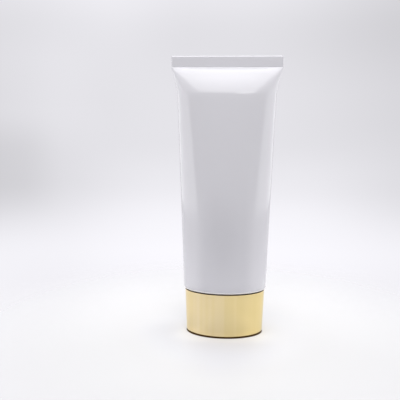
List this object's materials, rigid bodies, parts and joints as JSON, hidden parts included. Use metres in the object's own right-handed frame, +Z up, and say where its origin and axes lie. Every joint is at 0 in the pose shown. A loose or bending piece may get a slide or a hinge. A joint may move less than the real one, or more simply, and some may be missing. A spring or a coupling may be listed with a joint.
{
  "type": "cosmetic squeeze tube",
  "caption": "Glossy white squeeze tube with a flat welded end, an oval foot and a round neck, standing on a gold metallised oval cap that lifts off.",
  "frame": {"origin": "middle of the flat closed end of the cap, on which the tube stands", "axes": "+Z up through the neck to the welded end, X along the width of the ovals and of the seal, Y along their depth"},
  "size_m": [0.0786, 0.04, 0.1977],
  "materials": {
    "sleeve_white": "smooth glossy white polyethylene",
    "head_white": "moulded satin white polyethylene",
    "cap_gold": "mirror-like gold metallised coating on plastic",
    "liner_white": "moulded natural white polypropylene"
  },
  "bodies": {
    "cap": {"cap_shell": "cap_gold", "cap_liner": "liner_white"},
    "tube": {"tube_sleeve": "sleeve_white", "tube_head": "head_white"}
  },
  "joints": [
    {"name": "cap_pull", "type": "slide", "parent": "cap", "child": "tube", "axis": [0, 0, 1], "range_m": [0, 0.03]}
  ]
}
